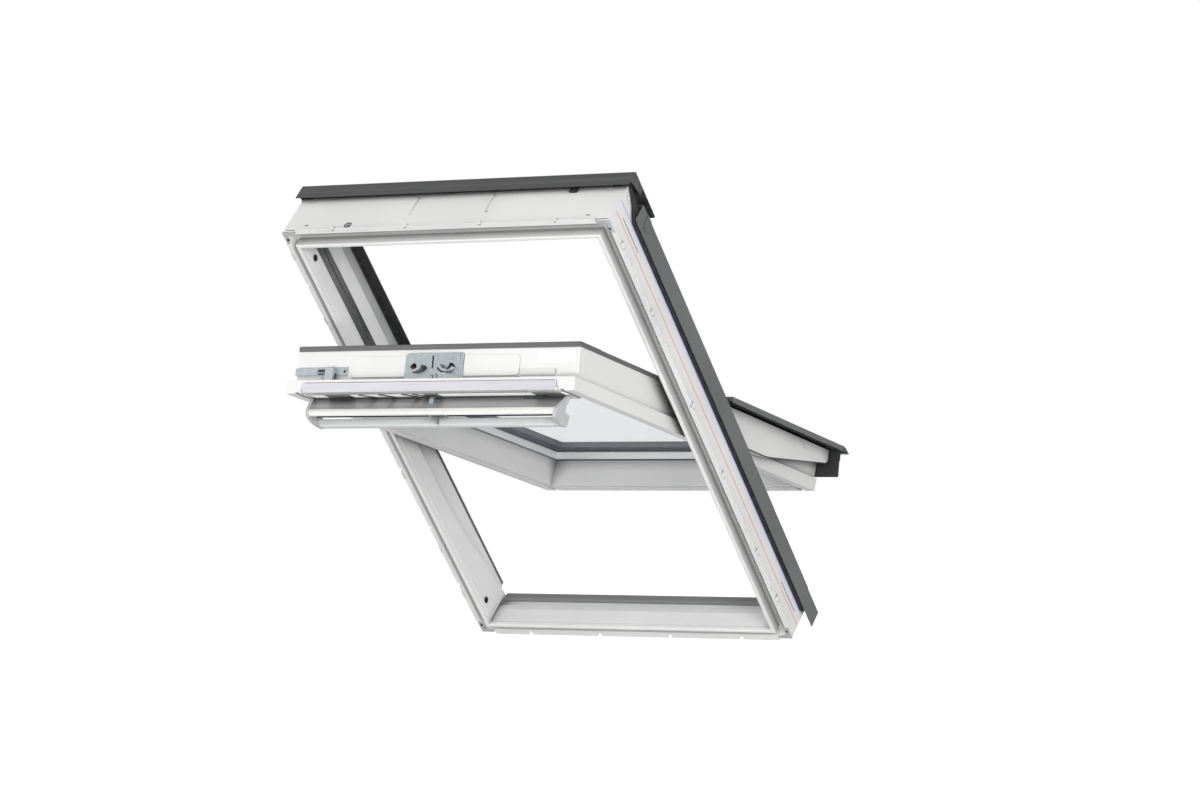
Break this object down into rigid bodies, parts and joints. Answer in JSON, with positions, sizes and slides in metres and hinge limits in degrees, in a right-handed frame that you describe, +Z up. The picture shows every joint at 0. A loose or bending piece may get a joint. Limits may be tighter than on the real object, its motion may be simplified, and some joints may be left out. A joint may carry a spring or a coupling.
{
  "type": "centre-pivot roof window",
  "caption": "Centre-pivot roof window: white moulded frame and tilted glazed sash with control bar, ventilation flap, claw lock, barrel bolt and dark metal covers.",
  "frame": {"origin": "centre of the frame's lower outer face, midway between its room side and its outer side", "axes": "+X to the right seen from the room, +Y out through the roof and level, +Z up; the frame leans at 47 degrees"},
  "size_m": [0.803, 1.1327, 0.9697],
  "materials": {
    "white_moulding": "smooth white moulded polyurethane",
    "corner_grey": "matt light grey",
    "cover_grey": "matt dark grey coated aluminium sheet",
    "rubber_black": "matt black",
    "zinc": "zinc plated, faintly blue",
    "black_plastic": "matt black",
    "dark_steel": "dark coated",
    "pane": "clear float glass",
    "spacer_metal": "mill finish",
    "label_white": "satin film, bare",
    "filter_foam": "open foam",
    "flap_grey": "satin anodised, pale",
    "bar_metal": "brushed lengthwise",
    "rail_metal": "satin anodised",
    "cap_grey": "satin light grey"
  },
  "bodies": {
    "frame": {"frame_top_rail": "white_moulding", "frame_bottom_rail": "white_moulding", "frame_left_jamb": "white_moulding", "frame_right_jamb": "white_moulding", "frame_corner_plates": "corner_grey", "frame_corner_screws": "black_plastic", "frame_edge_flanges": "white_moulding", "top_casing": "cover_grey", "side_cover_left": "cover_grey", "side_cover_right": "cover_grey", "upper_cover_left": "cover_grey", "upper_cover_right": "cover_grey", "bottom_frame_cover": "cover_grey", "cover_gaskets": "rubber_black", "cover_clips": "cover_grey", "jamb_seals": "rubber_black", "top_rail_seal": "rubber_black", "bottom_rail_seal": "rubber_black", "frame_hinge_left": "zinc", "frame_hinge_right": "zinc", "frame_hinge_screws": "zinc", "striker": "zinc", "striker_screws": "zinc", "bolt_bushes": "black_plastic"},
    "control_bar": {"bar_profile": "bar_metal", "bar_lower_rail": "rail_metal", "bar_cap_left": "cap_grey", "bar_cap_right": "cap_grey", "bar_rib": "bar_metal", "bar_link": "zinc"},
    "vent_flap": {"vent_flap": "flap_grey"},
    "claw_left": {"lock_claw_left": "zinc"},
    "claw_right": {"lock_claw_right": "zinc"},
    "barrel_bolt": {"bolt_rod": "zinc"},
    "sash": {"sash_top_rail": "white_moulding", "sash_bottom_rail": "white_moulding", "sash_left_stile": "white_moulding", "sash_right_stile": "white_moulding", "glass_outer": "pane", "glass_inner": "pane", "glass_spacer": "spacer_metal", "glass_edge_seal": "rubber_black", "glazing_gasket": "rubber_black", "sash_top_cover": "cover_grey", "sash_upper_covers": "cover_grey", "sash_lower_cover_left": "cover_grey", "sash_lower_cover_right": "cover_grey", "sash_bottom_cover": "cover_grey", "sash_bottom_seal": "rubber_black", "sash_hinge_left": "zinc", "sash_hinge_right": "zinc", "sash_hinge_screws": "zinc", "lock_case": "zinc", "lock_rivets": "zinc", "bolt_housing": "zinc", "blank_label": "label_white", "vent_filter": "filter_foam", "bar_brackets": "dark_steel", "bar_bracket_pins": "zinc", "lock_pull": "zinc"}
  },
  "joints": [
    {"name": "sash_pivot", "type": "hinge", "parent": "frame", "child": "sash", "pos_m": [0, -0.34794, 0.48089], "axis": [1, 0, 0], "range_deg": [-36, 126]},
    {"name": "bar_hinge", "type": "hinge", "parent": "sash", "child": "control_bar", "pos_m": [0, -0.858, 0.47206], "axis": [1, 0, 0], "range_deg": [0, 40]},
    {"name": "flap_hinge", "type": "hinge", "parent": "sash", "child": "vent_flap", "pos_m": [0, -0.9039, 0.49065], "axis": [1, 0, 0], "range_deg": [0, 25]},
    {"name": "claw_left_turn", "type": "hinge", "parent": "sash", "child": "claw_left", "pos_m": [-0.036, -0.8718, 0.5216], "axis": [0, 0.9816, -0.1908], "range_deg": [0, 25]},
    {"name": "claw_right_turn", "type": "hinge", "parent": "sash", "child": "claw_right", "pos_m": [0.024, -0.8718, 0.5216], "axis": [0, 0.9816, -0.1908], "range_deg": [-25, 0]},
    {"name": "bolt_slide", "type": "slide", "parent": "sash", "child": "barrel_bolt", "axis": [-1, 0, 0], "range_m": [0, 0.026]}
  ],
  "couplings": [
    {"joint": "flap_hinge", "follows": "bar_hinge", "ratio": 0.625},
    {"joint": "claw_right_turn", "follows": "claw_left_turn", "ratio": -1}
  ]
}
